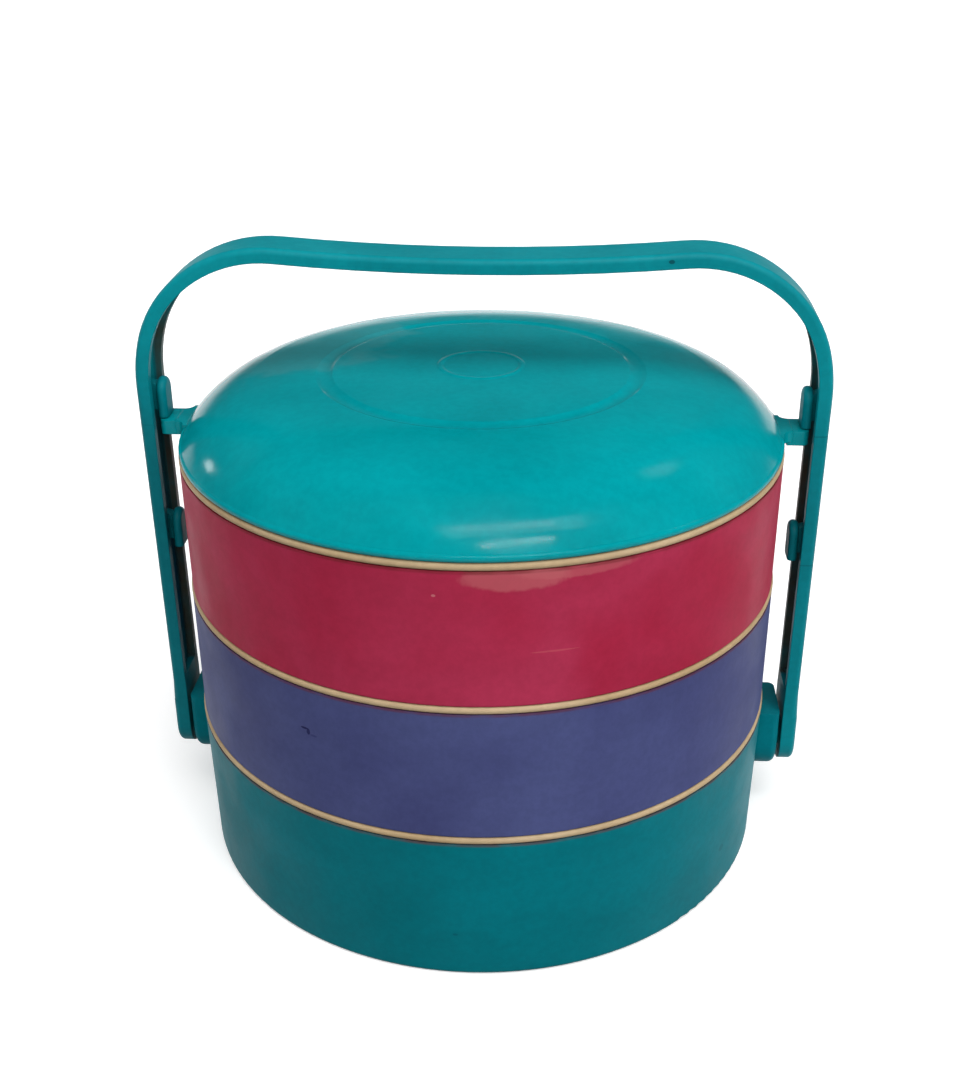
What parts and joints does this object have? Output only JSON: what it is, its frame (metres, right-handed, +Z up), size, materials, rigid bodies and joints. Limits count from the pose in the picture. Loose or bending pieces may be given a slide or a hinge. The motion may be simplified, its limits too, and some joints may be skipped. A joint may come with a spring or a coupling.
{
  "type": "stacking food container",
  "caption": "Round stacking food carrier: lined containers under a domed lid, held by a swinging strap handle whose catches close over the lid's ears and a rim.",
  "frame": {"origin": "centre of the foot ring's underside, on the table", "axes": "+Z up through the stack, +X along the handle's pivots to the right side, the front faces -Y"},
  "size_m": [0.214, 0.1884, 0.1979],
  "materials": {
    "base_teal": "moulded gloss",
    "lid_teal": "moulded gloss",
    "handle_teal": "moulded gloss",
    "violet": "moulded gloss",
    "maroon": "moulded gloss",
    "cream": "moulded satin"
  },
  "bodies": {
    "base": {"base_shell": "base_teal", "base_liner": "cream"},
    "middle": {"middle_shell": "violet", "middle_liner": "cream"},
    "upper": {"upper_shell": "maroon", "upper_liner": "cream"},
    "lid": {"lid": "lid_teal", "ears": "lid_teal"},
    "handle": {"handle": "handle_teal", "upper_catches": "handle_teal", "lower_catches": "handle_teal"}
  },
  "joints": [
    {"name": "handle_swing", "type": "hinge", "parent": "base", "child": "handle", "pos_m": [0, 0, 0.0289], "axis": [1, 0, 0], "range_deg": [-96, 96]},
    {"name": "middle_turn", "type": "hinge", "parent": "base", "child": "middle", "pos_m": [0, 0, 0.0512], "axis": [0, 0, 1], "continuous": true},
    {"name": "upper_turn", "type": "hinge", "parent": "middle", "child": "upper", "pos_m": [0, 0, 0.0948], "axis": [0, 0, 1], "continuous": true},
    {"name": "lid_turn", "type": "hinge", "parent": "upper", "child": "lid", "pos_m": [0, 0, 0.1384], "axis": [0, 0, 1], "continuous": true}
  ]
}
